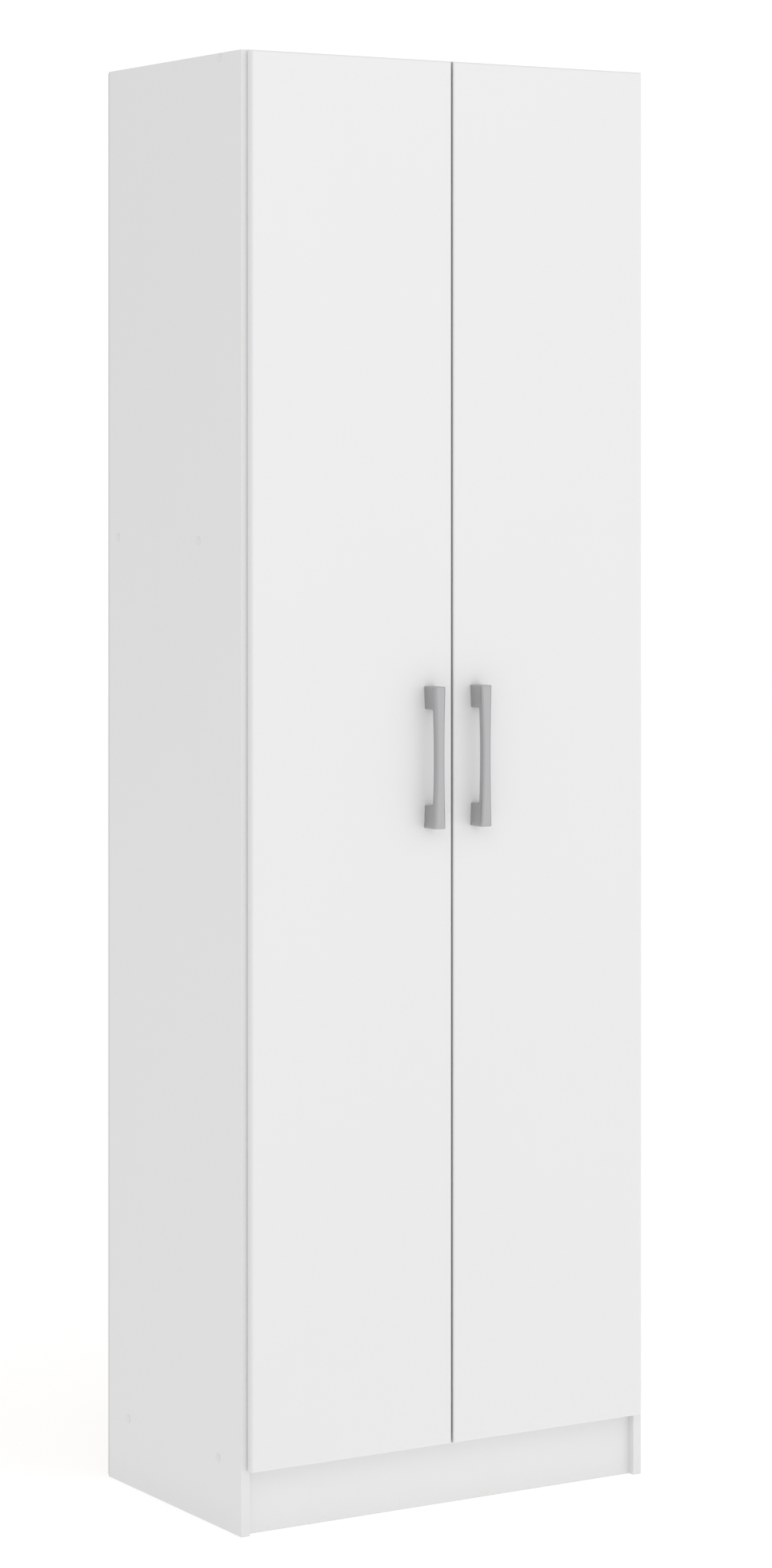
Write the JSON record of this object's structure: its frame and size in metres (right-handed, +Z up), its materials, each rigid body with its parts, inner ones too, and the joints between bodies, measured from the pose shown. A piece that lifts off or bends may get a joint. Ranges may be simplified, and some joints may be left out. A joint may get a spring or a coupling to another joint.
{
  "type": "pantry cabinet",
  "caption": "Tall narrow white pantry cabinet with full-height hinged doors, bar handles, recessed plinth, fixed and loose shelves and a nailed back.",
  "frame": {"origin": "centre of the base of the whole object's box, on the floor", "axes": "+Z up, +X to the right seen from the front, +Y towards the back; the doors face -Y"},
  "size_m": [0.591, 0.388, 1.8],
  "materials": {
    "carcass_board": "thin white satin foil on fibreboard",
    "door_board": "white satin foil wrapped round the front edges",
    "shelf_board": "white foil",
    "hardboard": "white-lacquered hardboard, smooth",
    "beech": "raw beech",
    "white_plastic": "matt white moulding",
    "handle_metal": "satin grey",
    "hinge_steel": "bright nickel plate",
    "zinc_screws": "zinc plate",
    "bumper_pad": "soft translucent white"
  },
  "bodies": {
    "carcass": {"left_side_panel": "carcass_board", "right_side_panel": "carcass_board", "top_panel": "carcass_board", "bottom_panel": "carcass_board", "fixed_shelf": "shelf_board", "plinth_board": "carcass_board", "upper_back_panel": "hardboard", "lower_back_panel": "hardboard", "back_panel_nails": "zinc_screws", "assembly_screws": "zinc_screws", "screw_cover_caps": "white_plastic", "dowels": "beech", "plinth_blocks": "white_plastic", "plinth_block_screws": "zinc_screws", "wall_brackets": "zinc_screws", "wall_bracket_screws": "zinc_screws", "lower_shelf_pins": "zinc_screws", "middle_shelf_pins": "zinc_screws", "upper_shelf_pins": "zinc_screws", "left_hinge_plates": "hinge_steel", "left_hinge_plate_screws": "zinc_screws", "left_hinge_arms": "hinge_steel", "left_hinge_arm_screws": "zinc_screws", "left_arm_pins": "hinge_steel", "right_hinge_plates": "hinge_steel", "right_hinge_plate_screws": "zinc_screws", "right_hinge_arms": "hinge_steel", "right_hinge_arm_screws": "zinc_screws", "right_arm_pins": "hinge_steel"},
    "left_links": {"left_hinge_links": "hinge_steel"},
    "left_door": {"left_door_panel": "door_board", "left_hinge_cups": "hinge_steel", "left_cup_pins": "hinge_steel", "left_cup_screws": "zinc_screws", "left_handle": "handle_metal", "left_handle_screws": "zinc_screws", "left_door_bumpers": "bumper_pad"},
    "right_links": {"right_hinge_links": "hinge_steel"},
    "right_door": {"right_door_panel": "door_board", "right_hinge_cups": "hinge_steel", "right_cup_pins": "hinge_steel", "right_cup_screws": "zinc_screws", "right_handle": "handle_metal", "right_handle_screws": "zinc_screws", "right_door_bumpers": "bumper_pad"},
    "lower_shelf_board": {"lower_shelf": "shelf_board"},
    "middle_shelf_board": {"middle_shelf": "shelf_board"},
    "upper_shelf_board": {"upper_shelf": "shelf_board"}
  },
  "joints": [
    {"name": "left_link_swing", "type": "hinge", "parent": "carcass", "child": "left_links", "pos_m": [-0.2669, -0.1457, 0.935], "axis": [0, 0, 1], "range_deg": [0, 14.3]},
    {"name": "left_door_swing", "type": "hinge", "parent": "left_links", "child": "left_door", "pos_m": [-0.2814, -0.1597, 0.935], "axis": [0, 0, -1], "range_deg": [0, 109.25]},
    {"name": "right_link_swing", "type": "hinge", "parent": "carcass", "child": "right_links", "pos_m": [0.2669, -0.1457, 0.935], "axis": [0, 0, -1], "range_deg": [0, 14.3]},
    {"name": "right_door_swing", "type": "hinge", "parent": "right_links", "child": "right_door", "pos_m": [0.2814, -0.1597, 0.935], "axis": [0, 0, 1], "range_deg": [0, 109.25]},
    {"name": "lower_shelf_lift", "type": "slide", "parent": "carcass", "child": "lower_shelf_board", "axis": [0, 0, 1], "range_m": [0, 0.02]},
    {"name": "middle_shelf_lift", "type": "slide", "parent": "carcass", "child": "middle_shelf_board", "axis": [0, 0, 1], "range_m": [0, 0.02]},
    {"name": "upper_shelf_lift", "type": "slide", "parent": "carcass", "child": "upper_shelf_board", "axis": [0, 0, 1], "range_m": [0, 0.02]}
  ],
  "couplings": [
    {"joint": "left_link_swing", "follows": "left_door_swing", "ratio": 0.13043},
    {"joint": "right_link_swing", "follows": "right_door_swing", "ratio": 0.13043}
  ]
}
